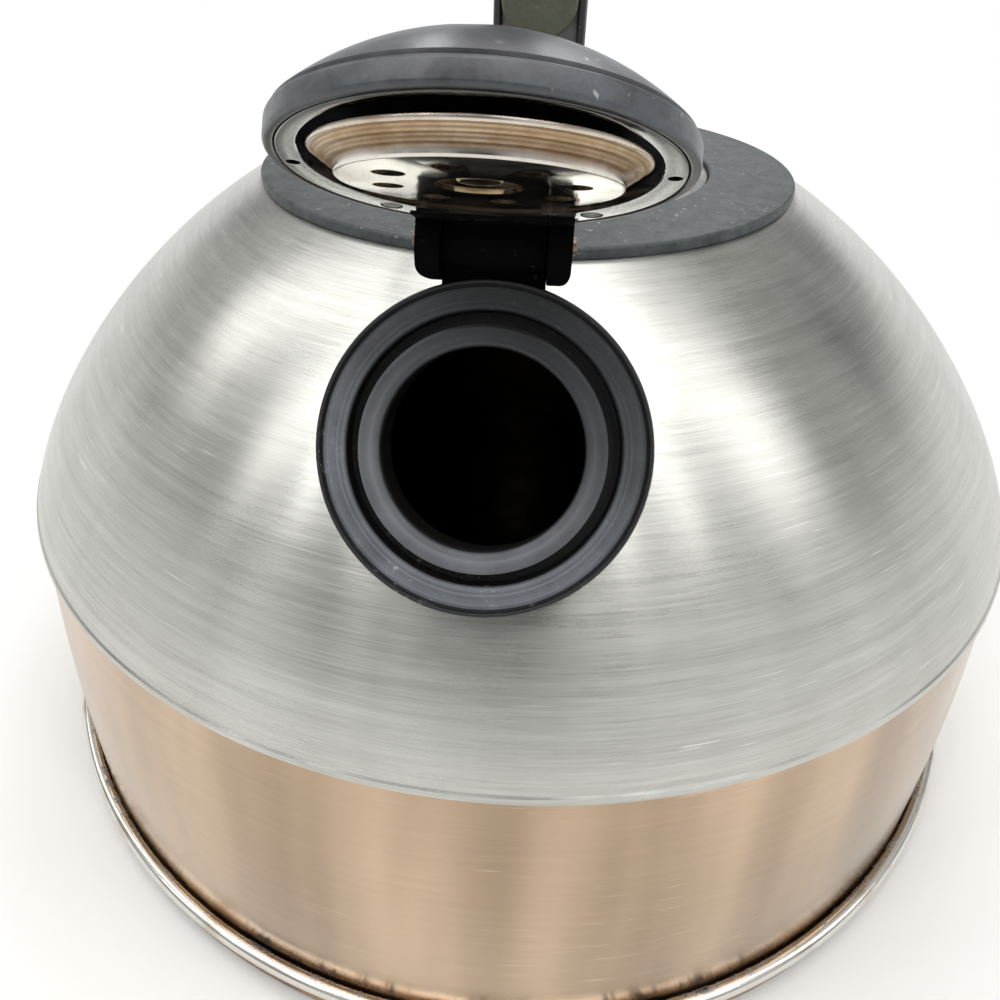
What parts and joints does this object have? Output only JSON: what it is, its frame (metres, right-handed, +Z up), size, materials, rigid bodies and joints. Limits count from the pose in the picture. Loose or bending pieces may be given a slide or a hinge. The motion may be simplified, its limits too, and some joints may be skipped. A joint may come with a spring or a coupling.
{
  "type": "whistling kettle",
  "caption": "Stovetop whistling kettle: steel body, hinged whistle cap on a short tilted spout, lift-off lid and a handle rising from the rear of the top collar.",
  "frame": {"origin": "middle of the flat underside of the base disc, on the floor", "axes": "+Z up along the body's axis, -Y toward the spout, +X to the right seen from the spout's side"},
  "size_m": [0.22, 0.22, 0.2003],
  "materials": {
    "dome_steel": "fine brushing round the dome",
    "band_steel": "smoother polish with a faint heat tint",
    "bead_steel": "polished",
    "base_metal": "heat-stained golden brown",
    "inner_steel": "dull mill finish",
    "collar_plastic": "satin black with fine scuffs",
    "ring_plastic": "satin black with fine mould lines",
    "seal_silicone": "soft dark grey",
    "pin_steel": "dull, slightly stained",
    "handle_plastic": "matt black",
    "grip_soft": "soft-touch dark olive grey",
    "screw_steel": "dull",
    "cap_plastic": "satin black",
    "whistle_steel": "smooth, faintly warm",
    "rivet_brass": "worn bright",
    "lid_steel": "fine brushing",
    "gasket_silicone": "milky silicone"
  },
  "bodies": {
    "kettle": {"dome_shell": "dome_steel", "band_shell": "band_steel", "base_bead": "bead_steel", "base_disc": "base_metal", "body_floor": "inner_steel", "collar_ring": "collar_plastic", "throat_nut": "collar_plastic", "spout_tube": "inner_steel", "spout_ring": "ring_plastic", "spout_seal": "seal_silicone", "hinge_pin": "pin_steel", "handle_foot": "handle_plastic", "handle_shell": "handle_plastic", "handle_core": "inner_steel", "grip_pad": "grip_soft", "handle_nose": "handle_plastic", "handle_bolts": "screw_steel"},
    "cap": {"cap_shell": "cap_plastic", "cap_base": "cap_plastic", "cap_screws": "screw_steel", "whistle_cup": "whistle_steel", "whistle_disc": "whistle_steel", "whistle_rivet": "rivet_brass"},
    "lid": {"lid_shell": "lid_steel", "lid_plug": "inner_steel", "lid_gasket": "gasket_silicone", "lid_knob": "handle_plastic", "knob_screw": "screw_steel", "knob_washer": "inner_steel"}
  },
  "joints": [
    {"name": "cap_hinge", "type": "hinge", "parent": "kettle", "child": "cap", "pos_m": [0, -0.07214, 0.13044], "axis": [1, 0, 0], "range_deg": [-8, 85]},
    {"name": "lid_lift", "type": "slide", "parent": "kettle", "child": "lid", "axis": [0, 0, 1], "range_m": [0, 0.025]}
  ]
}
